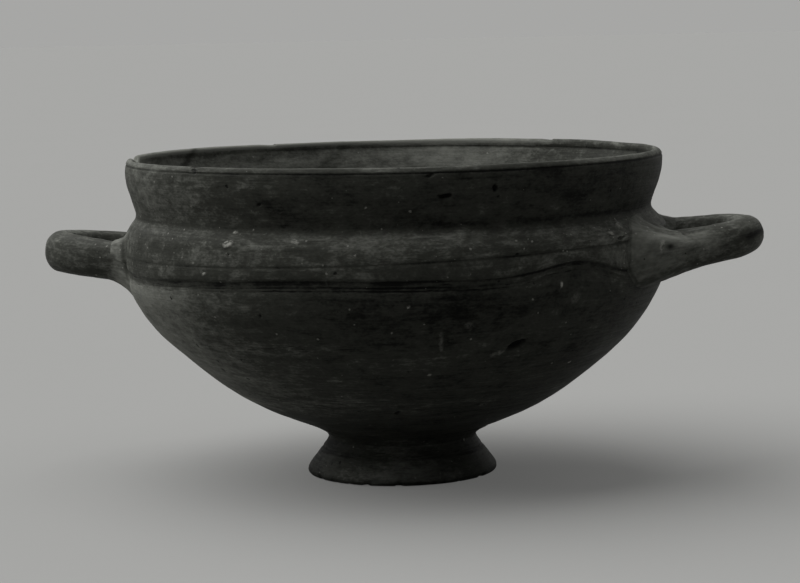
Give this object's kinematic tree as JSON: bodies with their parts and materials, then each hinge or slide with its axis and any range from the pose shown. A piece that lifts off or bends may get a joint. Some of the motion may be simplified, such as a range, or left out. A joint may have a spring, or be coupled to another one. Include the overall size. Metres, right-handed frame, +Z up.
{
  "type": "skyphos cup",
  "caption": "Deep wheel-thrown drinking cup on a flaring foot, with a grooved shoulder band, an everted neck and horizontal loop handles.",
  "frame": {"origin": "middle of the foot's base, on the bowl's axis, on the surface it stands on", "axes": "+Z up along the axis the bowl was thrown on; +X towards the right handle, along the line of both handles; -Y towards the viewer of the picture"},
  "size_m": [0.2452, 0.1818, 0.1087],
  "materials": {
    "burnished_clay": "satin burnished slip, worn pale at the edges",
    "smeared_clay": "matte, smoothed by finger"
  },
  "bodies": {
    "root": {"bowl": "burnished_clay", "foot": "burnished_clay", "foot_lute": "burnished_clay", "left_handle": "burnished_clay", "right_handle": "burnished_clay", "left_handle_front_lute": "smeared_clay", "left_handle_back_lute": "smeared_clay", "right_handle_front_lute": "smeared_clay", "right_handle_back_lute": "smeared_clay"}
  },
  "joints": []
}
